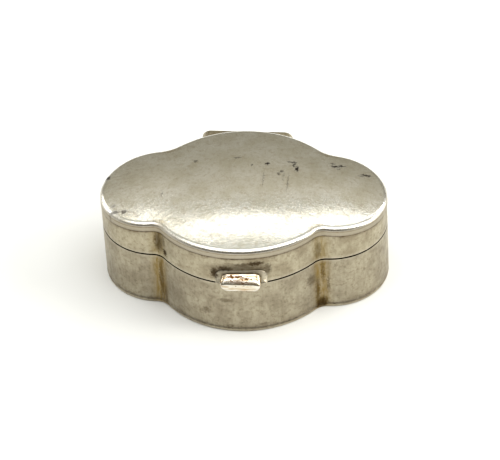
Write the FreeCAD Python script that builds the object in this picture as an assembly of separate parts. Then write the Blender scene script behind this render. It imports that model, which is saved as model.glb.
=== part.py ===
import FreeCAD, Part
import math
import os
from FreeCAD import Vector

# Four-lobed silver pill box with a hinged, domed lid.
# Millimetres. +Z is up, +X runs from side lobe to side lobe, and -Y is the front, where the thumbpiece is.
# The origin is on the table under the middle of the side lobes.

# overall size
overall_width = 38.0
front_depth = 12.7          # origin to the front of the front lobe
back_depth = 11.75          # origin to the back of the back lobe
seam_height = 8.45          # top of the base wall
rim_height = 14.15          # upper edge of the lid at the middle of the front and back

# plan outline: round lobes joined by hollow notches
side_lobe_radius = 7.4
front_lobe_radius = 13.0
back_lobe_radius = 15.0
front_notch_radius = 2.1
back_notch_radius = 4.0

# sheet thicknesses and fits
floor_thickness = 0.6
floor_edge_radius = 0.25
lid_wall = 0.65
bezel_clearance = 0.15      # between the bezel and the lid wall, all round
bezel_wall = 0.4
bezel_rise = 1.2            # how far the bezel stands above the base wall
bezel_depth = 3.0           # how far it reaches down inside the base
bezel_lead_in = 0.15
seam_gap = 0.15             # hairline between the lid wall and the base wall

# lid plate: arched from side to side and slightly from front to back, with a raised dome over the lobes
side_drop = 1.4             # fall of the rim from the middle to the ends of the side lobes
front_drop = 0.3            # fall of the arch from the middle to the front
dome_rise = 1.0
side_dome_share = 0.5       # rise of the side lobes' domes, as a share of the middle one
dome_blend = 7.0            # sharpness of the blend between the lobes' domes
plate_thickness = 1.25
plate_overhang = 0.05       # how far the plate stands proud of the lid wall
plate_edge_radius = 0.4

# thumbpiece, soldered slightly right of the middle
thumb_offset = 0.7
thumb_width = 5.35
thumb_height = 2.2
thumb_projection = 1.2
thumb_drop = 0.2            # how far the bar hangs below the lid's lower edge
thumb_corner_radius = 1.05
thumb_edge_radius = 0.45
thumb_slope = 0.75          # fall of the bar's top from its root to its front
backplate_width = 6.8
backplate_height = 2.3
backplate_thickness = 0.3
backplate_corner_radius = 1.1

# hinge, soldered slightly left of the middle
hinge_offset = -0.6
hinge_length = 12.3
bearer_projection = 1.2     # straight back of the bearers, behind the back lobe
bearer_top_drop = 1.3       # below the rim
bearer_corner_radius = 1.2
base_bearer_height = 3.6
axis_inset = 0.65           # hinge axis, in front of the bearers' straight backs
stop_angle = 108.0          # lid angle at which the bearers' bevels meet
knuckle_count = 5
knuckle_radius = 0.7
knuckle_gap = 0.08          # between neighbouring knuckles
seat_clearance = 0.05       # between a knuckle and the other half's seat
pin_radius = 0.3
pin_clearance = 0.04

# worked out from the values above
base_wall = lid_wall + bezel_clearance
side_centre = overall_width / 2 - side_lobe_radius
front_centre = front_lobe_radius - front_depth
back_centre = back_depth - back_lobe_radius
lid_bottom = seam_height + seam_gap
hinge_back = back_depth + bearer_projection
hinge_axis_y = hinge_back - axis_inset
hinge_axis_z = seam_height + seam_gap / 2
tall = 4 * rim_height       # longer than anything it cuts
near = 1e-4                 # edges this close to a place count as lying on it


def notch_centre(lobe_a, radius_a, lobe_b, radius_b, notch_radius, outward):
    """Centre of the hollow arc that touches both lobes, on the side given by outward."""
    reach_a = radius_a + notch_radius
    reach_b = radius_b + notch_radius
    span = lobe_b - lobe_a
    along = (reach_a ** 2 - reach_b ** 2 + span.Length ** 2) / (2 * span.Length)
    across = math.sqrt(reach_a ** 2 - along ** 2)
    direction = span / span.Length
    normal = Vector(-direction.y, direction.x, 0)
    if normal.dot(outward) < 0:
        normal = -normal
    return lobe_a + direction * along + normal * across


def arc_about(centre, radius, start, end, through):
    """Arc about a centre from start to end that passes on the side given by through."""
    middle = centre + through / through.Length * radius
    return Part.Arc(start, middle, end).toShape()


def lobe_outline(inset, height):
    """Closed plan outline at a height, moved inwards by inset (outwards if negative)."""
    right = Vector(side_centre, 0, 0)
    left = Vector(-side_centre, 0, 0)
    front = Vector(0, front_centre, 0)
    back = Vector(0, back_centre, 0)
    ring = [
        (right, side_lobe_radius, Vector(1, 0, 0)),
        (back, back_lobe_radius, Vector(0, 1, 0)),
        (left, side_lobe_radius, Vector(-1, 0, 0)),
        (front, front_lobe_radius, Vector(0, -1, 0)),
    ]
    notch_radii = [back_notch_radius, back_notch_radius, front_notch_radius, front_notch_radius]
    count = len(ring)
    notches = []
    for i in range(count):
        centre_a, radius_a, facing_a = ring[i]
        centre_b, radius_b, facing_b = ring[(i + 1) % count]
        radius = notch_radii[i]
        centre = notch_centre(centre_a, radius_a, centre_b, radius_b, radius, facing_a + facing_b)
        to_a = (centre_a - centre) / (radius_a + radius)
        to_b = (centre_b - centre) / (radius_b + radius)
        notches.append((centre, to_a, to_b, radius + inset))
    edges = []
    for i in range(count):
        centre, radius, facing = ring[i]
        before = notches[i - 1]
        after = notches[i]
        start = before[0] + before[2] * before[3]
        end = after[0] + after[1] * after[3]
        edges.append(arc_about(centre, radius - inset, start, end, facing))
        notch_end = after[0] + after[2] * after[3]
        edges.append(arc_about(after[0], after[3], end, notch_end, after[1] + after[2]))
    wire = Part.Wire(Part.__sortEdges__(edges))
    wire.translate(Vector(0, 0, height))
    return wire


def prism(inset, bottom, top):
    return Part.Face(lobe_outline(inset, bottom)).extrude(Vector(0, 0, top - bottom))


def band(outer_inset, inner_inset, bottom, top):
    return prism(outer_inset, bottom, top).cut(prism(inner_inset, bottom, top))


def soft_max(values):
    """Smooth maximum of the values."""
    return math.log(sum(math.exp(dome_blend * value) for value in values)) / dome_blend


def lid_height(x, y):
    """Height of the lid's upper surface: an arch plus one paraboloid dome over each lobe."""
    arch = front_drop * (1 - (y / front_depth) ** 2) - side_drop * (x / (overall_width / 2)) ** 2
    right = side_dome_share * (1 - ((x - side_centre) ** 2 + y ** 2) / side_lobe_radius ** 2)
    left = side_dome_share * (1 - ((x + side_centre) ** 2 + y ** 2) / side_lobe_radius ** 2)
    front = 1 - (x ** 2 + (y - front_centre) ** 2) / front_lobe_radius ** 2
    back = 1 - (x ** 2 + (y - back_centre) ** 2) / back_lobe_radius ** 2
    middle = -soft_max([-front, -back])
    return rim_height + arch + dome_rise * soft_max([middle, left, right])


def above_lid(lift):
    """Everything above the lid's upper surface moved up by lift. The surface passes through a grid of points
    that reaches past the outline by a margin on every side."""
    margin = 1.5
    columns = 41
    rows = 29
    reach_x = overall_width / 2 + margin
    front_reach = -front_depth - margin
    back_reach = back_depth + margin
    grid = []
    for i in range(columns):
        x = -reach_x + 2 * reach_x * i / (columns - 1)
        line = []
        for j in range(rows):
            y = front_reach + (back_reach - front_reach) * j / (rows - 1)
            line.append(Vector(x, y, lid_height(x, y) + lift))
        grid.append(line)
    surface = Part.BSplineSurface()
    surface.interpolate(grid)
    return surface.toShape().extrude(Vector(0, 0, tall))


def edges_at(shape, height, inside_of):
    """Edges that lie flat at a height, on the outer outline or on an inner one."""
    found = []
    for edge in shape.Edges:
        box = edge.BoundBox
        if abs(box.ZMin - height) > near or abs(box.ZMax - height) > near:
            continue
        if inside_of.distToShape(edge)[0] < near:
            found.append(edge)
    return found


def base_floor():
    plate = prism(0, 0, floor_thickness)
    return plate.makeFillet(floor_edge_radius, edges_at(plate, 0, lobe_outline(0, 0)))


def inner_bezel():
    outer = base_wall
    bottom = seam_height - bezel_depth
    top = seam_height + bezel_rise
    strip = band(outer, outer + bezel_wall, bottom, top)
    return strip.makeChamfer(bezel_lead_in, edges_at(strip, top, lobe_outline(outer, top)))


def lid_band():
    wall = band(0, lid_wall, lid_bottom, rim_height + dome_rise)
    return wall.cut(above_lid(-plate_thickness))


def lid_top_plate():
    slab = prism(-plate_overhang, lid_bottom, rim_height + 2 * dome_rise + front_drop)
    plate = slab.common(above_lid(-plate_thickness)).cut(above_lid(0))
    rim_edges = []
    for edge in plate.Edges:
        middle = edge.valueAt((edge.FirstParameter + edge.LastParameter) / 2)
        if abs(middle.z - lid_height(middle.x, middle.y)) < plate_thickness / 4:
            rim_edges.append(edge)
    return plate.makeFillet(plate_edge_radius, rim_edges)


def front_cylinder(gap):
    """Upright cylinder concentric with the front lobe, standing off its wall by gap."""
    return Part.makeCylinder(front_lobe_radius + gap, tall, Vector(0, front_centre, 0))


def rounded_front_block(width, height, centre_x, bottom, depth_from, depth_to, corner_radius):
    """Upright oblong with rounded corners, its faces square to Y."""
    block = Part.makeBox(width, depth_to - depth_from, height,
                         Vector(centre_x - width / 2, depth_from, bottom))
    corners = []
    for edge in block.Edges:
        if edge.BoundBox.YLength > (depth_to - depth_from) / 2:
            corners.append(edge)
    return block.makeFillet(corner_radius, corners)


def thumbpiece_backplate():
    block = rounded_front_block(backplate_width, 2 * backplate_height, thumb_offset,
                                lid_bottom - backplate_height, -tall, front_centre, backplate_corner_radius)
    plate = block.common(front_cylinder(backplate_thickness)).cut(front_cylinder(0))
    return plate.cut(Part.makeBox(tall, tall, lid_bottom, Vector(-tall / 2, -tall / 2, 0)))


def thumbpiece():
    """Oblong bar on the backplate, its top sloping down to the front and its nose rounded."""
    back = front_centre
    front = -front_depth - backplate_thickness - thumb_projection
    bar = rounded_front_block(thumb_width, thumb_height, thumb_offset, lid_bottom - thumb_drop,
                              front, back, thumb_corner_radius)
    top = lid_bottom - thumb_drop + thumb_height
    root = front + thumb_projection
    past_front = front - thumb_projection
    low = top - 2 * thumb_slope
    corners = [Vector(-tall, root, top), Vector(-tall, past_front, low), Vector(-tall, past_front, top)]
    above_slope = Part.Face(Part.makePolygon(corners + corners[:1])).extrude(Vector(2 * tall, 0, 0))
    bar = bar.cut(above_slope)
    nose = [edge for edge in bar.Edges if edge.BoundBox.YMax < front + near]
    bar = bar.makeFillet(thumb_edge_radius, nose)
    return bar.cut(front_cylinder(backplate_thickness))


def knuckle_span(index):
    """Start and end along X of a knuckle, counted from the left."""
    pitch = (hinge_length + knuckle_gap) / knuckle_count
    start = hinge_offset - hinge_length / 2 + index * pitch
    return start, start + pitch - knuckle_gap


def along_axis(radius, start, end):
    return Part.makeCylinder(radius, end - start, Vector(start, hinge_axis_y, hinge_axis_z), Vector(1, 0, 0))


def knuckle_seat(own_parity):
    """Room for all the knuckles: touching a half's own ones, and clear of the other half's."""
    seat = None
    for index in range(knuckle_count):
        start, end = knuckle_span(index)
        if index % 2 == own_parity:
            piece = along_axis(knuckle_radius, start, end)
        else:
            piece = along_axis(knuckle_radius + seat_clearance, start - knuckle_gap, end + knuckle_gap)
        seat = piece if seat is None else seat.fuse(piece)
    return seat


def bevel(direction):
    """Wedge behind the hinge axis that is taken off a bearer; direction is +1 on the base, -1 on the lid."""
    slope = math.radians(stop_angle / 2)
    reach = hinge_back
    axis = Vector(-tall / 2, hinge_axis_y, hinge_axis_z)
    back = axis + Vector(0, reach, 0)
    low = axis + Vector(0, reach, -direction * reach * math.tan(slope))
    face = Part.Face(Part.makePolygon([axis, back, low, axis]))
    return face.extrude(Vector(tall, 0, 0))


def bearer_block(bottom, top, rounded_height):
    """Straight-backed block against the back lobe, with its two outer corners at rounded_height rounded."""
    block = Part.makeBox(hinge_length, hinge_back, top - bottom,
                         Vector(hinge_offset - hinge_length / 2, 0, bottom))
    corners = []
    for edge in block.Edges:
        box = edge.BoundBox
        if box.YLength > hinge_back / 2 and abs(box.ZMin - rounded_height) < near:
            corners.append(edge)
    block = block.makeFillet(bearer_corner_radius, corners)
    return block.cut(prism(0, -tall, tall))


def lid_hinge_bearer():
    top = rim_height - bearer_top_drop
    block = bearer_block(lid_bottom, top, top)
    return block.cut(bevel(-1)).cut(knuckle_seat(1))


def base_hinge_bearer():
    bottom = seam_height - base_bearer_height
    block = bearer_block(bottom, seam_height, bottom)
    return block.cut(bevel(1)).cut(knuckle_seat(0))


def hinge_knuckle(index):
    start, end = knuckle_span(index)
    at_end = index in (0, knuckle_count - 1)
    bore = pin_radius if at_end else pin_radius + pin_clearance
    return along_axis(knuckle_radius, start, end).cut(along_axis(bore, start, end))


def hinge_pin():
    start = knuckle_span(0)[0]
    end = knuckle_span(knuckle_count - 1)[1]
    return along_axis(pin_radius, start, end)


def build():
    nodes = {
        "base_floor": base_floor(),
        "base_band": band(0, base_wall, floor_thickness, seam_height).cut(knuckle_seat(0)),
        "inner_bezel": inner_bezel(),
        "lid_band": lid_band().cut(knuckle_seat(1)),
        "lid_top_plate": lid_top_plate(),
        "thumbpiece_backplate": thumbpiece_backplate(),
        "thumbpiece": thumbpiece(),
        "lid_hinge_bearer": lid_hinge_bearer(),
        "base_hinge_bearer": base_hinge_bearer(),
        "hinge_pin": hinge_pin(),
    }
    for index in range(knuckle_count):
        nodes["hinge_knuckle_%d" % (index + 1)] = hinge_knuckle(index)
    return nodes


os.makedirs("parts", exist_ok=True)
for name, shape in build().items():
    print(name, "solids", len(shape.Solids), "valid", shape.isValid(), "volume", round(shape.Volume, 3))
    shape.exportStep("parts/%s.step" % name)
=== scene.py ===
import math

import bmesh
import bpy
import numpy as np
from mathutils import Matrix, Quaternion, Vector


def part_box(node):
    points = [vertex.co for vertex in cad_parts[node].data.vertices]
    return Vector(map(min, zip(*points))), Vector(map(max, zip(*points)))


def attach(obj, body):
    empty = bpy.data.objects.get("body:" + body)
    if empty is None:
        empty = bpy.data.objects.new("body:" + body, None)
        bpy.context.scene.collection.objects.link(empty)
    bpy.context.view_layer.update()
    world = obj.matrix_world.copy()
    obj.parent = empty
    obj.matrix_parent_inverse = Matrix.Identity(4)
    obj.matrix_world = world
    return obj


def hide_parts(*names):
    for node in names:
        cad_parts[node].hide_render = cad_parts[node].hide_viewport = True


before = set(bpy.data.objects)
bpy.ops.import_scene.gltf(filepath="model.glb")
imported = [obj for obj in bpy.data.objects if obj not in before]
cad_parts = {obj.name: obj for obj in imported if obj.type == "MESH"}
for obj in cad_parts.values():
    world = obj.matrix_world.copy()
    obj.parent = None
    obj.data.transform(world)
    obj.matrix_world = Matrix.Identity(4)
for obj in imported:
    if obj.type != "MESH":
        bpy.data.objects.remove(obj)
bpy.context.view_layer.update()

mm = 0.001

cameraSetup = {
    "target": Vector((0, 0, 6)) * mm,
    "distance": 467 * mm,
    "azimuth": math.radians(7.46),     # walked round to the right of the front
    "elevation": math.radians(41.9),
    "roll": math.radians(-3.5),
    "lens": 252.0,                     # on a 36 mm sensor
    "shift": (0.0088, 0.0068),
}

lightSetup = {
    # name: (azimuth from the back, elevation, distance, width, height, roll, watts, colour),
    # in degrees and metres, with the roll lowering the panel's right end
    "backPanel": (7, 56.6, 0.60, 0.60, 0.042, 10, 0.27, "#FFFEFA"),
    "overheadPanel": (180, 80, 0.60, 0.85, 0.34, 0, 2.4, "#FFFFFF"),
    "rightPanel": (95, 34, 0.60, 0.20, 0.30, 0, 1.7, "#FFFCF4"),
    "farLeftPanel": (-62, 24, 0.60, 0.30, 0.20, 0, 0.6, "#FFFFFF"),
    "farRightPanel": (62, 24, 0.60, 0.30, 0.20, 0, 1.0, "#FFFFFF"),
}

# studio walls as seen in the metal: height above the horizon in degrees, and sRGB colour
studioWalls = [
    (-10, "#96938A"), (14, "#98958A"), (30, "#ADA99A"), (38, "#C4BFAF"), (45.5, "#E6E2D4"),
    (50.0, "#A5A7A1"), (62, "#DADBD4"), (90, "#E4E5E1"),
]
studioFront = "#7D796F"                # the darker side of the room, behind the camera


def linear(hexColour, alpha=1.0):
    # sRGB hex to the linear values that shaders take
    channels = [int(hexColour[i:i + 2], 16) / 255 for i in (1, 3, 5)]
    return tuple(c / 12.92 if c <= 0.04045 else ((c + 0.055) / 1.055) ** 2.4 for c in channels) + (alpha,)


def addNode(tree, kind, sockets=None, **settings):
    # adds a node with its settings; a socket given another node's output is linked, any other value is set
    made = tree.nodes.new(kind)
    for key, value in settings.items():
        setattr(made, key, value)
    for key, value in (sockets or {}).items():
        if isinstance(value, bpy.types.NodeSocket):
            tree.links.new(value, made.inputs[key])
        else:
            made.inputs[key].default_value = value
    return made


def direction(azimuth, elevation):
    # unit vector to a place on the studio dome; azimuth 0 is behind the object, 90 to its right
    a, e = math.radians(azimuth), math.radians(elevation)
    return Vector((math.sin(a) * math.cos(e), math.cos(a) * math.cos(e), math.sin(e)))


def makeCamera(setup):
    a, e, roll = setup["azimuth"], setup["elevation"], setup["roll"]
    back = Vector((math.sin(a) * math.cos(e), -math.cos(a) * math.cos(e), math.sin(e)))
    right = Vector((math.cos(a), math.sin(a), 0))
    up = back.cross(right)
    turnedRight = right * math.cos(roll) + up * math.sin(roll)
    turnedUp = up * math.cos(roll) - right * math.sin(roll)
    axes = Matrix((turnedRight, turnedUp, back)).transposed().to_4x4()
    data = bpy.data.cameras.new("camera")
    data.lens = setup["lens"]
    data.sensor_width = 36
    data.shift_x, data.shift_y = setup["shift"]
    data.clip_start, data.clip_end = 0.01, 50
    camera = bpy.data.objects.new("camera", data)
    camera.matrix_world = Matrix.Translation(setup["target"] + back * setup["distance"]) @ axes
    bpy.context.scene.collection.objects.link(camera)
    bpy.context.scene.camera = camera


def makeLights(setup):
    for name, (azimuth, elevation, distance, width, height, roll, watts, colour) in setup.items():
        data = bpy.data.lights.new(name, "AREA")
        data.shape, data.size, data.size_y = "RECTANGLE", width, height
        data.energy, data.color = watts, linear(colour)[:3]
        lamp = bpy.data.objects.new(name, data)
        toLamp = direction(azimuth, elevation)
        lamp.location = toLamp * distance
        rolled = Quaternion((0, 0, 1), math.radians(roll))
        lamp.rotation_euler = (toLamp.to_track_quat("Z", "Y") @ rolled).to_euler()
        bpy.context.scene.collection.objects.link(lamp)


def makeStudio(walls, front):
    # walls that lighten upwards, with the side behind the camera left dark
    lowest, highest = walls[0][0], walls[-1][0]
    world = bpy.data.worlds.new("studio")
    bpy.context.scene.world = world
    world.use_nodes = True
    tree = world.node_tree
    tree.nodes.clear()
    coords = addNode(tree, "ShaderNodeTexCoord")
    split = addNode(tree, "ShaderNodeSeparateXYZ", {0: coords.outputs["Generated"]})
    height = addNode(tree, "ShaderNodeMath", {0: split.outputs["Z"]}, operation="ARCSINE")
    share = addNode(tree, "ShaderNodeMapRange", {
        0: height.outputs[0], 1: math.radians(lowest), 2: math.radians(highest)})
    ramp = addNode(tree, "ShaderNodeValToRGB", {0: share.outputs[0]})
    stops = ramp.color_ramp.elements
    while len(stops) < len(walls):
        stops.new(0.5)
    for stop, (degrees, colour) in zip(stops, walls):
        stop.position = (degrees - lowest) / (highest - lowest)
        stop.color = linear(colour)
    frontness = addNode(tree, "ShaderNodeMapRange", {0: split.outputs["Y"], 1: -0.05, 2: -0.45},
                        interpolation_type="SMOOTHSTEP")
    blend = addNode(tree, "ShaderNodeMix", {0: frontness.outputs[0], 6: ramp.outputs[0], 7: linear(front)},
                    data_type="RGBA")
    lit = addNode(tree, "ShaderNodeBackground", {0: blend.outputs[2], 1: 1.0})
    addNode(tree, "ShaderNodeOutputWorld", {0: lit.outputs[0]})


def makeFloor():
    size = 3.0       # half its width, in metres
    corners = [(-size, -size, 0), (size, -size, 0), (size, size, 0), (-size, size, 0)]
    mesh = bpy.data.meshes.new("studioFloor")
    mesh.from_pydata(corners, [], [(0, 1, 2, 3)])
    floor = bpy.data.objects.new("studioFloor", mesh)
    bpy.context.scene.collection.objects.link(floor)
    paper = bpy.data.materials.new("whitePaperSweep")
    paper.use_nodes = True
    shader = paper.node_tree.nodes["Principled BSDF"]
    shader.inputs["Base Color"].default_value = linear("#F6F7F6")
    shader.inputs["Roughness"].default_value = 0.9
    shader.inputs["Specular IOR Level"].default_value = 0.2
    mesh.materials.append(paper)


makeCamera(cameraSetup)
makeLights(lightSetup)
makeStudio(studioWalls, studioFront)
makeFloor()
bpy.context.scene.view_settings.view_transform = "Standard"
print("camera, lights and floor placed")

bandLow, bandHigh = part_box("base_band")
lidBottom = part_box("lid_band")[0].z
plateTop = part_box("lid_top_plate")[1].z
bezelLow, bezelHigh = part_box("inner_bezel")
thumbLow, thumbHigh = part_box("thumbpiece")
backplateLow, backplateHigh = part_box("thumbpiece_backplate")

boxShape = {
    "sideLobeRadius": 7.4 * mm,
    "frontLobeRadius": 13.0 * mm,
    "backLobeRadius": 15.0 * mm,
    "frontNotchRadius": 2.1 * mm,
    "backNotchRadius": 4.0 * mm,
    "columnStep": 0.22 * mm,       # spacing of the mesh along the outline
    "valleyReach": 1.0 * mm,       # how far the notch tarnish spreads along the wall
}
halfWidth, frontDepth, backDepth = bandHigh.x, -bandLow.y, bandHigh.y
seamHeight = bandHigh.z
sideCentre = halfWidth - boxShape["sideLobeRadius"]
frontCentre = boxShape["frontLobeRadius"] - frontDepth
backCentre = backDepth - boxShape["backLobeRadius"]

wallShape = {
    "baseWall": 0.8 * mm,
    "lidWall": 0.65 * mm,
    "bezelWall": 0.4 * mm,
    "seamRounding": 0.08 * mm,     # worn edges along the seam
    "floorRounding": 0.25 * mm,
    "bezelRounding": 0.15 * mm,
}

lidShape = {
    "sideDrop": 1.4 * mm,
    "frontDrop": 0.3 * mm,
    "domeRise": 1.0 * mm,
    "sideDomeShare": 0.5,
    "domeBlend": 7.0,
    "plateThickness": 1.25 * mm,
    "plateOverhang": 0.05 * mm,
    "plateRounding": 0.4 * mm,
    "rimSoftening": 0.65 * mm,      # how far in from the rim its rounding starts
}


def notchCentre(lobeA, radiusA, lobeB, radiusB, notchRadius, outward):
    # centre of the hollow arc that touches both lobes, by the triangle of the three centres
    reachA, reachB = radiusA + notchRadius, radiusB + notchRadius
    span = lobeB - lobeA
    length = np.hypot(*span)
    along = (reachA ** 2 - reachB ** 2 + length ** 2) / (2 * length)
    across = math.sqrt(reachA ** 2 - along ** 2)
    unit = span / length
    normal = np.array([-unit[1], unit[0]])
    return lobeA + unit * along + normal * across * np.sign(normal @ outward)


def lobedOutline(shape):
    # four round lobes joined by hollow arcs, counter-clockwise from the right lobe's front end:
    # place, outward direction, length along the wall, and closeness to a notch (0 to 1)
    ring = [
        (np.array([sideCentre, 0.0]), shape["sideLobeRadius"], np.array([1, 0])),
        (np.array([0.0, backCentre]), shape["backLobeRadius"], np.array([0, 1])),
        (np.array([-sideCentre, 0.0]), shape["sideLobeRadius"], np.array([-1, 0])),
        (np.array([0.0, frontCentre]), shape["frontLobeRadius"], np.array([0, -1])),
    ]
    radii = [shape["backNotchRadius"]] * 2 + [shape["frontNotchRadius"]] * 2
    notches = []
    for i in range(4):
        (centreA, radiusA, facingA), (centreB, radiusB, facingB) = ring[i], ring[(i + 1) % 4]
        notches.append(notchCentre(centreA, radiusA, centreB, radiusB, radii[i], facingA + facingB))
    places, normals, lengths, nearNotch = [], [], [], []
    travelled = 0.0
    notchPlaces = []
    for i in range(4):
        centre, radius = ring[i][:2]
        nextCentre = ring[(i + 1) % 4][0]
        start = math.atan2(*(notches[i - 1] - centre)[::-1])
        sweep = (math.atan2(*(notches[i] - centre)[::-1]) - start) % (2 * math.pi)
        notchStart = math.atan2(*(centre - notches[i])[::-1])
        notchSweep = -((notchStart - math.atan2(*(nextCentre - notches[i])[::-1])) % (2 * math.pi))
        for middle, r, first, turn, hollow in ((centre, radius, start, sweep, 1),
                                               (notches[i], radii[i], notchStart, notchSweep, -1)):
            count = max(8, int(round(abs(turn) * r / shape["columnStep"])))
            angle = first + turn * np.arange(count) / count
            spoke = np.stack([np.cos(angle), np.sin(angle)], 1)
            places.append(middle + spoke * r)
            normals.append(spoke * hollow)
            lengths.append(travelled + abs(turn) * r * np.arange(count) / count)
            if hollow < 0:
                notchPlaces.append(travelled + abs(turn) * r / 2)
            travelled += abs(turn) * r
    length = np.concatenate(lengths)
    half = travelled / 2
    apart = np.abs((length[:, None] - np.array(notchPlaces)[None] + half) % travelled - half)
    near = np.exp(-(apart.min(1) / shape["valleyReach"]) ** 2)
    return np.concatenate(places), np.concatenate(normals), length, travelled, near


outline, outward, alongWall, wallLength, valley = lobedOutline(boxShape)


def softMax(values):
    # smooth maximum: the logarithm of the summed exponentials
    return np.log(sum(np.exp(lidShape["domeBlend"] * v) for v in values)) / lidShape["domeBlend"]


def lidRise(x, y):
    # an arch across and along, plus a blend of one paraboloid dome over each lobe
    side, front, back = (boxShape[k] for k in ("sideLobeRadius", "frontLobeRadius", "backLobeRadius"))
    arch = lidShape["frontDrop"] * (1 - (y / frontDepth) ** 2) - lidShape["sideDrop"] * (x / halfWidth) ** 2
    rightDome = lidShape["sideDomeShare"] * (1 - ((x - sideCentre) ** 2 + y ** 2) / side ** 2)
    leftDome = lidShape["sideDomeShare"] * (1 - ((x + sideCentre) ** 2 + y ** 2) / side ** 2)
    frontDome = 1 - (x ** 2 + (y - frontCentre) ** 2) / front ** 2
    backDome = 1 - (x ** 2 + (y - backCentre) ** 2) / back ** 2
    middle = -softMax([-frontDome, -backDome])
    return arch + lidShape["domeRise"] * softMax([middle, leftDome, rightDome])


# the lid's highest point is somewhere over its middle half
testShares = np.linspace(-0.5, 0.5, 81)
testX, testY = np.meshgrid(testShares * halfWidth, testShares * frontDepth)
rimHeight = plateTop - lidRise(testX, testY).max()


def lidHeight(x, y):
    return rimHeight + lidRise(x, y)


def gridMesh(name, x, y, z, u, v, marks, closedRows=False, capFirst=False, capLast=False):
    # a grid of rows that each run once round the piece: the last row may meet the first (closedRows), or
    # either may be capped with a pole. u and v are the brushing map, with one more column than the grid,
    # and marks are values kept per point
    rows, columns = x.shape
    points = np.stack([x, y, z], 2).reshape(-1, 3)
    rowCount = rows if closedRows else rows - 1
    r, c = np.meshgrid(np.arange(rowCount), np.arange(columns), indexing="ij")
    nextR, nextC = (r + 1) % rows, (c + 1) % columns
    here, above = r * columns, nextR * columns
    quads = np.stack([here + c, here + nextC, above + nextC, above + c], 2)
    quadU = np.stack([u[r, c], u[r, c + 1], u[nextR, c + 1], u[nextR, c]], 2)
    quadV = np.stack([v[r, c], v[r, c + 1], v[nextR, c + 1], v[nextR, c]], 2)
    faces = [quads.reshape(-1, 4)]
    cornerUv = [np.stack([quadU, quadV], 3).reshape(-1, 2)]
    values = {key: value.reshape(-1) for key, value in marks.items()}
    c = np.arange(columns)
    for wanted, row in ((capFirst, 0), (capLast, rows - 1)):
        if not wanted:
            continue
        pole = np.array([[x[row].mean(), y[row].mean(), z[row].mean()]])
        index = len(points)
        points = np.concatenate([points, pole])
        for key in values:
            values[key] = np.append(values[key], marks[key][row].mean())
        fan = np.stack([np.full(columns, index), row * columns + c, row * columns + (c + 1) % columns], 1)
        poleU, poleV = np.full(columns, u[row].mean()), np.full(columns, v[row].mean())
        faces.append(fan)
        cornerUv.append(np.stack([np.stack([poleU, u[row, c], u[row, c + 1]], 1),
                                  np.stack([poleV, v[row, c], v[row, c + 1]], 1)], 2).reshape(-1, 2))
    mesh = bpy.data.meshes.new(name)
    mesh.from_pydata(points.tolist(), [], [face for block in faces for face in block.tolist()])
    brush = mesh.uv_layers.new(name="brushing")
    brush.data.foreach_set("uv", np.concatenate(cornerUv).astype(np.float32).ravel())
    for key, value in values.items():
        mesh.attributes.new(key, "FLOAT", "POINT").data.foreach_set("value", value.astype(np.float32))
    finishMesh(mesh)
    made = bpy.data.objects.new(name, mesh)
    bpy.context.scene.collection.objects.link(made)
    return made


def finishMesh(mesh):
    work = bmesh.new()
    work.from_mesh(mesh)
    bmesh.ops.recalc_face_normals(work, faces=work.faces)
    work.to_mesh(mesh)
    work.free()
    mesh.polygons.foreach_set("use_smooth", np.ones(len(mesh.polygons), bool))
    mesh.update()


seamShadeMark = 2.0       # the grime-and-shade value that marks the painted shade of the seam gap


def quarterRound(count):
    # sine and cosine of a quarter turn in equal steps
    angle = np.linspace(0, math.pi / 2, count)
    return np.sin(angle), np.cos(angle)


def profileColumn(rows, place):
    # one value of each profile row, as a column
    return np.array([float(row[place]) for row in rows])[:, None]


def insetOutline(inset, share=1.0):
    # the lobed outline moved in by inset and drawn towards the middle to a share of its size
    x = (outline[None, :, 0] - outward[None, :, 0] * inset) * share
    y = (outline[None, :, 1] - outward[None, :, 1] * inset) * share
    return x, y


def spreadMarks(rows, places, shape):
    # marks that stay the same all along a row
    return {key: np.broadcast_to(profileColumn(rows, place), shape) for key, place in places}


def sweepWall(name, profile, lidFollows=False):
    # carries a closed profile round the lobed outline. Each profile row is (inset, height, edge, grime and
    # painted shade, inner), where the seam's shade value marks the painted shade of the seam gap instead.
    # With lidFollows a sixth value says whether the height is measured from the lid's upper surface (1) or
    # from the floor (0)
    inset, level = profileColumn(profile, 0), profileColumn(profile, 1)
    x, y = insetOutline(inset)
    z = np.broadcast_to(level, x.shape).copy()
    if lidFollows:
        follows = profileColumn(profile, 5)
        z = follows * (lidHeight(x, y) + level) + (1 - follows) * level
    wall = np.append(alongWall, wallLength)
    u = np.broadcast_to(wall, (len(profile), len(wall)))
    v = np.concatenate([z, z[:, :1]], 1) - inset
    marks = {"valley": np.broadcast_to(valley, x.shape)}
    marks.update(spreadMarks(profile, (("edge", 2), ("grimeAndShade", 3), ("inner", 4)), x.shape))
    marks["gap"] = (marks["grimeAndShade"] > 1).astype(float)
    marks["grimeAndShade"] = np.minimum(marks["grimeAndShade"], 1)
    return gridMesh(name, x, y, z, u, v, marks, closedRows=True)


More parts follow.
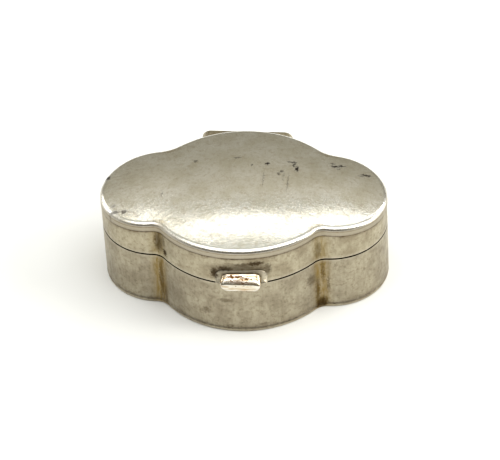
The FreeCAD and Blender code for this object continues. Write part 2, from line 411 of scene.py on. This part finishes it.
def makeBaseBand():
    # outside from the floor up, over the worn seam edge, and down the inside
    r, wall = wallShape["seamRounding"], wallShape["baseWall"]
    low, top = bandLow.z, seamHeight
    s, c = quarterRound(6)
    rows = [(0, low, 0, 0.6, 0), (0, low + 0.3 * mm, 0, 0.25, 0), (0, low + 0.8 * mm, 0, 0, 0)]
    rows += [(0, h, 0, 0, 0) for h in np.linspace(low + 1.6 * mm, top - 1.2 * mm, 7)]
    rows += [(0, top - 0.6 * mm, 0, 0.05, 0), (0, top - 0.3 * mm, 0.2, 0.15, 0)]
    # painted shade of the seam gap on the worn rounding and on the top of the wall beside the gap
    rows += [(r * (1 - c[i]), top - r + r * s[i], 0.35, seamShadeMark if i > 1 else 0.1, 0) for i in range(6)]
    rows += [(0.22 * mm, top, 0, seamShadeMark, 0), (0.3 * mm, top, 0, 0.6, 1), (wall - r / 2, top, 0.3, 0.5, 1)]
    rows += [(wall, top - r / 2, 0, 0.8, 1), (wall, top - 1 * mm, 0, 0.3, 1)]
    rows += [(wall, top - 3 * mm, 0, 0, 1), (wall, low + 0.8 * mm, 0, 0.2, 1), (wall, low, 0, 0.8, 1)]
    return sweepWall("baseWall", rows)


# where a plate's rows keep their marks
plateMarks = (("edge", 3), ("grimeAndShade", 4), ("inner", 5))


def makeFloorPlate():
    # flat plate with a rounded lower edge, closed by a pole above and below. Each row is (share, inset,
    # height, edge, grime and painted shade, inner)
    r, top, wall = wallShape["floorRounding"], bandLow.z, wallShape["baseWall"]
    s, c = quarterRound(7)
    shares = np.array([0.02, 0.2, 0.4, 0.6, 0.8, 1.0])
    upper = [(f, wall, top, 0, 0, 1) for f in shares[:-1]]
    upper += [(1, wall, top, 0, 0.7, 1), (1, 0, top, 0, 0.6, 0)]
    side = [(1, 0, top - 0.15 * mm, 0, 0.3, 0)]
    lower = [(1, r * (1 - c[i]), r - r * s[i], 0.5, 0.1, 0) for i in range(7)]
    under = [(f, r, 0, 0, 0.1, 0) for f in shares[::-1][1:]]
    rows = upper + side + lower + under
    share = profileColumn(rows, 0)
    x, y = insetOutline(profileColumn(rows, 1), share)
    z = np.broadcast_to(profileColumn(rows, 2), x.shape)
    marks = {"valley": valley[None] * (share > 0.99)}
    marks.update(spreadMarks(rows, plateMarks, x.shape))
    u, v = (np.concatenate([a, a[:, :1]], 1) for a in (x, y))
    return gridMesh("floorPlate", x, y, z, u, v, marks, capFirst=True, capLast=True)


def makeBezel():
    # strip inside the base's wall, with a rounded lip that stands above the seam
    r, wall = wallShape["bezelRounding"], wallShape["bezelWall"]
    outer = wallShape["baseWall"]
    low, top = bezelLow.z, bezelHigh.z
    s, c = quarterRound(5)
    # the grime at and just above the seam height is painted shade along the seam line
    rows = [(outer, low, 0, 0.5, 1), (outer, seamHeight - 0.02 * mm, 0, 1, 1)]
    rows += [(outer, seamHeight + 0.2 * mm, 0, 0.8, 1), (outer, top - 0.4 * mm, 0, 0.1, 1)]
    rows += [(outer + r * (1 - c[i]), top - r + r * s[i], 0.8, 0, 1) for i in range(5)]
    rows += [(outer + wall - 0.05 * mm, top, 0.7, 0, 1), (outer + wall, top - 0.05 * mm, 0.4, 0, 1)]
    rows += [(outer + wall, top - 1.5 * mm, 0, 0, 1), (outer + wall, low + 0.1 * mm, 0, 0.1, 1),
             (outer + wall - 0.1 * mm, low, 0.2, 0.5, 1)]
    return sweepWall("bezelStrip", rows)


def makeLidBand():
    # outside from the solder line under the plate down to the seam, and up the inside
    r, wall, plate = wallShape["seamRounding"], wallShape["lidWall"], lidShape["plateThickness"]
    low = lidBottom
    s, c = quarterRound(6)
    solderLine = ((0, 1), (0.07, 0.9), (0.18, 0.35), (0.5, 0.05), (0.9, 0))     # mm down, grime and painted shade
    rows = [(0, -plate - down * mm, 0, grimeAndShade, 0, 1) for down, grimeAndShade in solderLine]
    rows += [(0, low + h * mm, 0, 0, 0, 0) for h in (2.2, 1.6, 1.0, 0.6)]
    rows += [(0, low + 0.3 * mm, 0.2, 0.1, 0, 0)]
    # painted shade of the seam gap on the worn rounding and on the wall's lower face beside the gap
    rows += [(r * (1 - c[i]), low + r - r * s[i], 0.35, seamShadeMark if i > 1 else 0.1, 0, 0) for i in range(6)]
    rows += [(0.22 * mm, low, 0, seamShadeMark, 0, 0), (0.3 * mm, low, 0, 0.6, 1, 0)]
    rows += [(wall - r / 2, low, 0.3, 0.4, 1, 0), (wall, low + r / 2, 0.2, 0.5, 1, 0)]
    rows += [(wall, low + 1 * mm, 0, 0.1, 1, 0)]
    rows += [(wall, -plate - 0.5 * mm, 0, 0.2, 1, 1), (wall, -plate, 0, 0.8, 1, 1)]
    return sweepWall("lidWall", rows, lidFollows=True)


def makeLidPlate():
    # domed plate: rays from the middle out to the rounded rim, over the edge, and back underneath. Each row
    # is (share, inset, depth below the domed surface, edge, grime and painted shade, inner)
    r, over, plate = lidShape["plateRounding"], lidShape["plateOverhang"], lidShape["plateThickness"]
    s, c = quarterRound(10)
    shares = np.concatenate([np.linspace(0.02, 0.96, 44), [0.98, 0.992]])
    soft = lidShape["rimSoftening"]
    rows = [(f, soft - over, 0, 0, 0, 0) for f in shares]
    rows += [(1, soft * (1 - s[i]) - over, -r * (1 - c[i]), 0.5 * s[i] * c[i], 0, 0) for i in range(10)]
    # the grime just under the rounding is partly a painted dark line of reflection under the rim
    rows += [(1, -over, -r - 0.05 * mm, 0, 0.9, 0), (1, -over, -0.65 * mm, 0, 0, 0)]
    rows += [(1, -over, -plate + 0.25 * mm, 0, 0.1, 0), (1, -over, -plate + 0.06 * mm, 0, 0.5, 0)]
    rows += [(1, -over + 0.05 * mm, -plate, 0, 1, 0)]
    rows += [(f, wallShape["lidWall"], -plate, 0, 0.2 if f < 1 else 0.8, 1) for f in np.linspace(1, 0.02, 24)]
    share, drop = profileColumn(rows, 0), profileColumn(rows, 2)
    x, y = insetOutline(profileColumn(rows, 1), share)
    z = lidHeight(x, y) + drop
    marks = {"valley": valley[None] * (share > 0.97), "handled": np.clip(-drop / r, 0, 1) * np.ones(x.shape)}
    marks.update(spreadMarks(rows, plateMarks, x.shape))
    u, v = (np.concatenate([a, a[:, :1]], 1) for a in (x, y))
    return gridMesh("domedPlate", x, y, z, u, v, marks, capFirst=True, capLast=True)


def roundedOblong(width, height, topRadius, lowRadius, perCorner):
    # oblong with rounded corners about the origin, counter-clockwise from the lower right, with its
    # outward directions
    halfW, halfH = width / 2, height / 2
    corners = [
        # side, end, radius, first angle
        (1, -1, lowRadius, -90), (1, 1, topRadius, 0), (-1, 1, topRadius, 90), (-1, -1, lowRadius, 180),
    ]
    places, normals = [], []
    for signX, signZ, radius, first in corners:
        angle = np.radians(first + np.linspace(0, 90, perCorner))
        spoke = np.stack([np.cos(angle), np.sin(angle)], 1)
        middle = np.array([signX * (halfW - radius), signZ * (halfH - radius)])
        places.append(middle + spoke * radius)
        normals.append(spoke)
    return np.concatenate(places), np.concatenate(normals)


def frontWallY(x, gap):
    # the front lobe's surface at x, moved out by gap
    return frontCentre - np.sqrt((boxShape["frontLobeRadius"] + gap) ** 2 - x ** 2)


def frontPiece(name, place, normal, centre, rows, baseGap, slope=0.0):
    # carries a profile round an oblong that stands on the front lobe. Each row is (share, inset, projection,
    # edge, grime and painted shade, follow): a follow of 1 keeps to the wall's curve and 0 is flat across,
    # and a projection of zero lies on the wall. The slope lowers the upper half as it comes forward
    share, inset, out = (profileColumn(rows, i) for i in range(3))
    x = centre[0] + (place[None, :, 0] - normal[None, :, 0] * inset) * share
    z = centre[1] + (place[None, :, 1] - normal[None, :, 1] * inset) * share
    z = z - np.clip(z - centre[1], 0, None) * slope * out / out.max()
    follow = profileColumn(rows, 5)
    y = follow * frontWallY(x, baseGap) + (1 - follow) * frontWallY(0 * x + centre[0], baseGap) - out
    marks = {"valley": np.zeros(x.shape), "inner": np.zeros(x.shape)}
    marks.update(spreadMarks(rows, (("edge", 3), ("grimeAndShade", 4)), x.shape))
    u, v = np.concatenate([x, x[:, :1]], 1), np.concatenate([z, z[:, :1]], 1)
    return gridMesh(name, x, y, z, u, v, marks, capFirst=True, capLast=True)


thumbShape = {
    "cornerRadius": 1.05 * mm,
    "noseRounding": 0.45 * mm,
    "projection": 1.2 * mm,
    "slope": 0.75 / 1.1,           # how far the top falls towards the nose, over half the height
}
backplateShape = {
    "cornerRadius": 1.1 * mm,
    "lowCornerRadius": 0.1 * mm,
    "thickness": 0.3 * mm,
    "rounding": 0.14 * mm,
}
cornerSteps = 14                   # points round each corner of the two


def makeThumbpiece():
    width, height = thumbHigh.x - thumbLow.x, thumbHigh.z - thumbLow.z
    centre = ((thumbHigh.x + thumbLow.x) / 2, (thumbHigh.z + thumbLow.z) / 2)
    corner = thumbShape["cornerRadius"]
    place, normal = roundedOblong(width, height, corner, corner, cornerSteps)
    r, out = thumbShape["noseRounding"], thumbShape["projection"]
    s, c = quarterRound(12)
    rows = [(0.1, 0, 0, 0, 0, 1), (1, 0, 0, 0, 0.9, 1), (1, 0, 0.1 * mm, 0, 0.5, 1)]
    rows += [(1, 0, 0.35 * mm, 0, 0, 0.5), (1, 0, 0.6 * mm, 0, 0, 0)]
    rows += [(1, r * (1 - c[i]), out - r + r * s[i], 0.3, 0, 0) for i in range(12)]
    rows += [(0.6, r, out, 0.1, 0, 0), (0.15, r, out, 0.1, 0, 0)]
    gap, slope = backplateShape["thickness"], thumbShape["slope"]
    return frontPiece("thumbBar", place, normal, centre, rows, gap, slope)


def makeBackplate():
    width, height = backplateHigh.x - backplateLow.x, backplateHigh.z - backplateLow.z
    centre = ((backplateHigh.x + backplateLow.x) / 2, (backplateHigh.z + backplateLow.z) / 2)
    upper, lower = backplateShape["cornerRadius"], backplateShape["lowCornerRadius"]
    place, normal = roundedOblong(width, height, upper, lower, cornerSteps)
    r, out = backplateShape["rounding"], backplateShape["thickness"]
    s, c = quarterRound(5)
    rows = [(0.1, 0, 0, 0, 0, 1), (1, 0, 0, 0, 1, 1), (1, 0, 0.06 * mm, 0.1, 0.6, 1)]
    rows += [(1, r * (1 - c[i]), out - r + r * s[i], 0.8, 0, 1) for i in range(5)]
    rows += [(0.8, r, out, 0.1, 0.5, 1), (0.4, r, out, 0, 0.3, 1)]
    return frontPiece("thumbBackplate", place, normal, centre, rows, 0)


def softenedCopy(nodeName, name, width):
    # copy of a frame piece with its points merged and its sharp edges rounded
    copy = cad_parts[nodeName].data.copy()
    copy.name = name
    copy.materials.clear()
    work = bmesh.new()
    work.from_mesh(copy)
    bmesh.ops.remove_doubles(work, verts=work.verts, dist=1e-6)
    work.to_mesh(copy)
    work.free()
    copy.polygons.foreach_set("use_smooth", np.ones(len(copy.polygons), bool))
    made = bpy.data.objects.new(name, copy)
    bpy.context.scene.collection.objects.link(made)
    spots = np.zeros(len(copy.vertices) * 3)
    copy.vertices.foreach_get("co", spots)
    corners = np.zeros(len(copy.loops), int)
    copy.loops.foreach_get("vertex_index", corners)
    brush = copy.uv_layers.new(name="brushing")
    brush.data.foreach_set("uv", spots.reshape(-1, 3)[corners][:, [0, 2]].astype(np.float32).ravel())
    rounding = made.modifiers.new("softEdges", "BEVEL")
    rounding.width, rounding.segments = width, 3
    rounding.limit_method, rounding.angle_limit = "ANGLE", math.radians(35)
    rounding.harden_normals = True
    return made


silverLooks = {
    # sterling silver sheet, rubbed from front to back: a clean satin that spreads highlights sideways
    "rubbedSilverLid": {
        "clean": "#EFEDE6", "film": "#DFDBCD", "stain": "#C6BAA8", "soilAndShade": "#7A6650",
        "valleyColour": "#A08A5E", "worn": "#FFFFFF", "handledColour": "#A79D88",
        "fleckColour": "#2B1D14", "roughness": (0.16, 0.27), "anisotropy": 0.8,
        "streaks": (6500, 380, 1000), "scratches": (15000, 900, 1400), "grain": 0.5, "mottle": 0.6,
        "streakStain": 0.15, "streakColour": "#DDD5C2", "valleyTarnish": 0.5, "valleyGrain": "blotch",
    },
    # the same sheet as the lid's wall: a thin warm film, mottled by handling, with fine scratches both ways
    "handledSilverWall": {
        "clean": "#BDB49C", "film": "#9C917A", "stain": "#83765E", "soilAndShade": "#4E3A20",
        "valleyColour": "#94804F", "worn": "#E8E0CC", "handledColour": "#A79D88",
        "fleckColour": "#3A270B", "roughness": (0.30, 0.50), "anisotropy": 0.25,
        "streaks": (3200, 3200, 700), "scratches": (1800, 1800, 9000), "grain": 0.7, "mottle": 0.7,
        "streakStain": 0.15, "streakColour": "#8E836A", "valleyTarnish": 0.75, "valleyGrain": "streak",
    },
    # the base's wall: the same tarnished film as the lid's wall, with its colours darkened all through as
    # painted shade
    "tarnishedAndShadedSilverBase": {
        "clean": "#B5AC96", "film": "#968C78", "stain": "#7C705A", "soilAndShade": "#4A3822",
        "valleyColour": "#97814F", "worn": "#D8CFBA", "handledColour": "#8B8370",
        "fleckColour": "#4A3514", "roughness": (0.32, 0.52), "anisotropy": 0.25,
        "streaks": (3200, 3200, 700), "scratches": (1800, 1800, 9000), "grain": 0.8, "mottle": 0.7,
        "streakStain": 0.15, "streakColour": "#82785F", "valleyTarnish": 1.0, "valleyGrain": "streak",
    },
    # polished silver of the thumbpiece: near-mirror, with brown polish left in streaks along it
    "polishedSilver": {
        "clean": "#E9E6DC", "film": "#DFD6C0", "stain": "#CDBB94", "soilAndShade": "#5C4020",
        "valleyColour": "#C79E6C", "worn": "#F4F2EC", "handledColour": "#C79E6C",
        "roughness": (0.14, 0.26), "anisotropy": 0.3, "streaks": (450, 3800, 3800),
        "scratches": (1500, 9000, 9000), "grain": 0.8, "mottle": 0.4, "streakStain": 1.0,
        "streakColour": "#B08C54", "valleyTarnish": 0.0, "valleyGrain": "blotch",
        "fleckColour": "#5E3A0E",
    },
    # silver as the file left it, inside and on the hinge: duller and greyer
    "filedSilver": {
        "clean": "#C2BCAA", "film": "#A59D88", "stain": "#857A64", "soilAndShade": "#4A3A22",
        "valleyColour": "#857A64", "worn": "#E2DCCB", "handledColour": "#A59D88",
        "roughness": (0.34, 0.50), "anisotropy": 0.3, "streaks": (2600, 2600, 700),
        "scratches": (9000, 1200, 1400), "grain": 0.6, "mottle": 0.8, "streakStain": 0.2,
        "streakColour": "#948A72", "valleyTarnish": 0.4, "valleyGrain": "blotch",
    },
}

# patterns of the surface, as noise per metre along x, y and z, with its detail and roughness
surfacePatterns = {
    "cloud": ((350, 350, 350), 4.0, 0.6),          # tarnish clouds about 3 mm across
    "blotch": ((2000, 2000, 2000), 5.0, 0.7),      # blotches of half a millimetre
    "pits": ((6000, 6000, 6000), 3.0, 0.7),        # pinpricks, drawn coarser than real so that they show
}

# what lies on the metal, from the lowest up: (pattern or mark, from, to, share, broken up by, colour, added
# roughness), where the share and what breaks it up may name a value of the look
surfaceLayers = [
    ("cloud", 0.38, 0.64, 1.0, None, "film", 0.0),
    ("blotch", 0.50, 0.68, "mottle", None, "stain", 0.04),
    ("streak", 0.47, 0.62, "streakStain", None, "streakColour", 0.0),
    ("pits", 0.58, 0.74, 0.25, "blotch", "soilAndShade", 0.0),
    ("valley", 0.05, 0.75, "valleyTarnish", "valleyGrain", "valleyColour", 0.12),
    ("handled", 0.0, 1.0, 0.9, None, "handledColour", 0.2),
    # grime in the soil colour, also laid on as painted shade along the seam and in inner corners and joins
    ("grimeAndShade", 0.0, 1.0, 0.9, "blotch", "soilAndShade", 0.1),
    ("edge", 0.0, 1.0, 0.8, None, "worn", 0.0),
    # painted shade in the seam gap
    ("gap", 0.0, 1.0, 1.0, None, "shadowed", 0.2),
]
shadowedColour = "#140D06"       # painted shade in the seam gap, which no look names

# how proud of the metal each pattern stands
bumpDepths = {"streak": 0.004 * mm, "scratch": 0.003 * mm, "pits": 0.006 * mm, "blotch": 0.03 * mm}

# outline of the flecks: noise per metre and its push in mm, the shares of the half size where a fleck is
# still full and where it has gone, and how much it roughens the metal
fleckEdge = {"grain": (3200, 3200, 3200), "push": (0.9, 0.9, 0.9), "full": 0.5, "gone": 1.6, "roughness": 0.3}

# dark flecks on the lid: centre (mm), half sizes (mm), strength
lidFlecks = [
    ((3.0, 3.85, 15), (0.24, 0.2, 9), 0.95), ((0.95, 3.45, 15), (0.16, 0.14, 9), 0.6),
    ((6.2, 4.6, 15), (0.6, 0.13, 9), 0.75), ((6.9, 3.3, 15), (0.2, 0.55, 9), 0.95),
    ((6.5, 4.0, 15), (0.14, 0.4, 9), 0.8), ((5.0, 2.45, 15), (0.15, 0.2, 9), 0.75),
    ((4.65, 1.85, 15), (0.13, 0.25, 9), 0.6), ((11.9, 4.6, 15), (0.5, 0.2, 9), 0.95),
    ((12.8, 4.85, 15), (0.5, 0.16, 9), 0.9), ((11.5, 5.2, 15), (0.4, 0.12, 9), 0.7),
    ((12.4, 4.1, 15), (0.2, 0.2, 9), 0.7), ((16.1, 3.6, 14), (0.6, 0.2, 9), 0.9),
    ((15.4, 3.2, 14), (0.35, 0.16, 9), 0.6), ((-18.35, 2.3, 14), (0.35, 0.4, 9), 0.85),
    ((-16.5, -4.8, 14), (0.6, 0.3, 9), 0.7), ((-15.3, -4.9, 14), (0.35, 0.4, 9), 0.75),
    ((-16.9, -3.6, 14), (0.25, 0.3, 9), 0.5), ((-10.5, -2.0, 14), (0.1, 0.5, 9), 0.55),
    ((-6.65, 4.4, 15), (0.25, 0.25, 9), 0.55), ((-1.15, 4.95, 15), (0.5, 0.2, 9), 0.55),
    ((2.7, 0.6, 15), (0.06, 1.4, 9), 0.5), ((5.95, 0.4, 15), (0.06, 1.7, 9), 0.55),
    ((5.3, 1.4, 15), (0.06, 0.9, 9), 0.35),
]
# burnt flux and tarnish round the thumbpiece, and a knock beside the left notch
lidBandFlecks = [
    ((-2.75, -12.6, 10.2), (0.5, 2, 0.8), 0.85), ((-1.2, -13, 11.2), (1.2, 2, 0.35), 0.8),
    ((2.6, -12.7, 12.0), (1.1, 2, 0.3), 0.85), ((0.8, -13, 11.9), (1.1, 2, 0.28), 0.6),
    ((4.15, -12.4, 10.8), (0.4, 2, 0.9), 0.6), ((0.7, -13, 11.0), (3.6, 2, 0.9), 0.55),
    ((-9.75, -8.3, 9.7), (0.25, 0.5, 0.5), 0.95), ((-10.6, -7.6, 11.0), (0.55, 0.8, 1.5), 0.6),
    ((-9.9, -8.1, 11.6), (0.3, 0.5, 0.8), 0.4), ((10.4, -7.8, 10.5), (0.4, 0.6, 1.4), 0.35),
]
# golden-brown tarnish left in the drag marks along the top of the thumbpiece
thumbFlecks = [
    ((0.2, -13.3, 10.0), (1.5, 0.14, 2), 1.0), ((1.4, -13.55, 10.0), (1.0, 0.1, 2), 0.95),
    ((-0.1, -13.75, 10.0), (1.1, 0.08, 2), 0.85), ((0.8, -13.95, 10.0), (1.3, 0.1, 2), 0.9),
]
# stains on the base's wall, and a wide painted shade over its left lobe
baseFlecksAndShade = [
    ((-1.6, -12.7, 5.5), (0.9, 2, 0.3), 0.45), ((-4.2, -12.1, 3.2), (0.6, 2, 0.5), 0.4),
    ((3.4, -12.4, 1.2), (0.5, 2, 0.2), 0.35), ((-1.1, -12.7, 1.1), (0.5, 2, 0.15), 0.3),
    # painted shade: a wide soft darkening over the left lobe
    ((-15.0, -6.5, 4.0), (1.6, 2, 1.2), 0.22),
    ((-10.5, -7.6, 4.5), (0.3, 0.6, 3.2), 0.45), ((-10.0, -8.0, 2.0), (0.3, 0.5, 1.6), 0.4),
    ((10.6, -7.6, 1.0), (0.7, 0.9, 0.9), 0.8), ((10.2, -7.9, 3.5), (0.25, 0.6, 2.0), 0.5),
    ((10.9, -7.5, 6.5), (0.2, 0.5, 1.6), 0.45), ((11.6, -7.4, 4.4), (0.2, 0.4, 1.2), 0.4),
    ((9.5, -9.2, 5.8), (0.5, 2, 0.9), 0.45),
]


def fleckShade(tree, place, flecks):
    # darkest of a set of ragged oval spots: its strength in a spot's middle, falling to 0 past its half size
    middleGrey = (0.5, 0.5, 0.5)
    ragged = addNode(tree, "ShaderNodeMapping", {"Vector": place, "Scale": fleckEdge["grain"]})
    ragged = addNode(tree, "ShaderNodeTexNoise", {"Vector": ragged.outputs[0], "Scale": 1.0, "Detail": 3.0})
    ragged = addNode(tree, "ShaderNodeVectorMath", {0: ragged.outputs["Color"], 1: middleGrey},
                     operation="SUBTRACT")
    inMm = addNode(tree, "ShaderNodeVectorMath", {0: place, "Scale": 1000}, operation="SCALE")
    pushed = addNode(tree, "ShaderNodeVectorMath", {
        0: ragged.outputs[0], 1: fleckEdge["push"], 2: inMm.outputs[0]}, operation="MULTIPLY_ADD")
    darkest = 0.0
    for centre, halfSize, strength in flecks:
        apart = addNode(tree, "ShaderNodeVectorMath", {0: pushed.outputs[0], 1: centre}, operation="SUBTRACT")
        shaped = addNode(tree, "ShaderNodeVectorMath", {0: apart.outputs[0], 1: halfSize}, operation="DIVIDE")
        reach = addNode(tree, "ShaderNodeVectorMath", {0: shaped.outputs[0]}, operation="LENGTH")
        spot = addNode(tree, "ShaderNodeMapRange", {
            0: reach.outputs["Value"], 1: fleckEdge["full"], 2: fleckEdge["gone"], 3: strength, 4: 0.0},
            interpolation_type="SMOOTHSTEP")
        darkest = addNode(tree, "ShaderNodeMath", {0: darkest, 1: spot.outputs[0]}, operation="MAXIMUM")
        darkest = darkest.outputs[0]
    return darkest


def silver(name, look, flecks=()):
    # bare metal under the layers of surfaceLayers, each mixed in where its pattern or its mark on the piece
    # is high
    material = bpy.data.materials.new(name)
    material.use_nodes = True
    tree = material.node_tree
    tree.nodes.clear()
    place = addNode(tree, "ShaderNodeTexCoord").outputs["Object"]
    patterns = {
        "streak": (look["streaks"], 3.0, 0.6),
        "scratch": (look["scratches"], 2.0, 0.7),
        **surfacePatterns,
    }
    masks = {}
    for key, (scale, detail, rough) in patterns.items():
        scaled = addNode(tree, "ShaderNodeMapping", {"Vector": place, "Scale": scale})
        noise = addNode(tree, "ShaderNodeTexNoise", {
            "Vector": scaled.outputs[0], "Scale": 1.0, "Detail": detail, "Roughness": rough})
        masks[key] = noise.outputs["Fac"]
    for key in ("valley", "edge", "grimeAndShade", "gap", "handled", "inner"):
        masks[key] = addNode(tree, "ShaderNodeAttribute", attribute_name=key).outputs["Fac"]

    colour = linear(look["clean"])
    smoothest, roughest = look["roughness"]
    roughness = addNode(tree, "ShaderNodeMapRange", {
        0: masks["streak"], 1: 0.3, 2: 0.7, 3: smoothest, 4: roughest}).outputs[0]
    for mask, low, high, share, breaker, tint, rougher in surfaceLayers:
        amount = addNode(tree, "ShaderNodeMapRange", {
            0: masks[mask], 1: low, 2: high, 3: 0.0, 4: look.get(share, share)}).outputs[0]
        if breaker:
            broken = addNode(tree, "ShaderNodeMapRange", {
                0: masks[look.get(breaker, breaker)], 1: 0.3, 2: 0.62, 3: 0.35, 4: 1.0})
            amount = addNode(tree, "ShaderNodeMath", {0: amount, 1: broken.outputs[0]}, operation="MULTIPLY")
            amount = amount.outputs[0]
        paint = linear(look.get(tint, shadowedColour))
        colour = addNode(tree, "ShaderNodeMix", {0: amount, 6: colour, 7: paint}, data_type="RGBA")
        colour = colour.outputs[2]
        if rougher:
            roughness = addNode(tree, "ShaderNodeMath", {0: amount, 1: rougher, 2: roughness},
                                operation="MULTIPLY_ADD").outputs[0]
    if flecks:
        outside = addNode(tree, "ShaderNodeMath", {0: 1.0, 1: masks["inner"]}, operation="SUBTRACT")
        fleck = fleckShade(tree, place, flecks)
        fleck = addNode(tree, "ShaderNodeMath", {0: fleck, 1: outside.outputs[0]}, operation="MULTIPLY")
        fleck = fleck.outputs[0]
        paint = linear(look["fleckColour"])
        colour = addNode(tree, "ShaderNodeMix", {0: fleck, 6: colour, 7: paint}, data_type="RGBA").outputs[2]
        roughness = addNode(tree, "ShaderNodeMath", {0: fleck, 1: fleckEdge["roughness"], 2: roughness},
                            operation="MULTIPLY_ADD").outputs[0]

    # the patterns' bumps, one on top of the other
    shape = {}
    for key, depth in bumpDepths.items():
        bump = addNode(tree, "ShaderNodeBump", {
            "Height": masks[key], "Distance": depth, "Strength": look["grain"], **shape})
        shape = {"Normal": bump.outputs[0]}
    tangent = addNode(tree, "ShaderNodeTangent", direction_type="UV_MAP", uv_map="brushing")
    shader = addNode(tree, "ShaderNodeBsdfPrincipled", {
        "Base Color": colour, "Roughness": roughness, "Metallic": 1.0, "Anisotropic": look["anisotropy"],
        "Tangent": tangent.outputs[0], **shape})
    addNode(tree, "ShaderNodeOutputMaterial", {0: shader.outputs[0]})
    return material


lidMaterial = silver("rubbedSilverLid", silverLooks["rubbedSilverLid"], lidFlecks)
wallMaterial = silver("handledSilverWall", silverLooks["handledSilverWall"], lidBandFlecks)
baseMaterial = silver("tarnishedAndShadedSilverBase", silverLooks["tarnishedAndShadedSilverBase"], baseFlecksAndShade)
polishedMaterial = silver("polishedSilver", silverLooks["polishedSilver"], thumbFlecks)
filedMaterial = silver("filedSilver", silverLooks["filedSilver"])
print("silver finishes made")

bearerSoftening = 0.12 * mm
hingeSoftening = 0.05 * mm
knuckleCount = 5

newPieces = [
    # piece, body, frame node, material, slot
    (makeFloorPlate(), "base", "base_floor", baseMaterial, "satin_silver"),
    (makeBaseBand(), "base", "base_band", baseMaterial, "satin_silver"),
    (makeBezel(), "base", "inner_bezel", filedMaterial, "inner_silver"),
    (makeLidBand(), "lid", "lid_band", wallMaterial, "satin_silver"),
    (makeLidPlate(), "lid", "lid_top_plate", lidMaterial, "satin_silver"),
    (makeBackplate(), "lid", "thumbpiece_backplate", wallMaterial, "satin_silver"),
    (makeThumbpiece(), "lid", "thumbpiece", polishedMaterial, "polished_silver"),
    # the bearers, pin and knuckles keep the frame's shape
    (softenedCopy("lid_hinge_bearer", "lidBearer", bearerSoftening),
     "lid", "lid_hinge_bearer", wallMaterial, "satin_silver"),
    (softenedCopy("base_hinge_bearer", "baseBearer", bearerSoftening),
     "base", "base_hinge_bearer", baseMaterial, "satin_silver"),
    (softenedCopy("hinge_pin", "hingePin", hingeSoftening),
     "base", "hinge_pin", filedMaterial, "inner_silver"),
]
# odd knuckles are soldered to the base, even ones to the lid
for number in range(1, knuckleCount + 1):
    node = "hinge_knuckle_%d" % number
    body = "base" if number % 2 else "lid"
    knuckle = softenedCopy(node, "knuckle%d" % number, hingeSoftening)
    newPieces.append((knuckle, body, node, filedMaterial, "inner_silver"))

for piece, body, node, material, slot in newPieces:
    piece.data.materials.append(material)
    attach(piece, body)
    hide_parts(node)
print("pieces made:", len(newPieces))
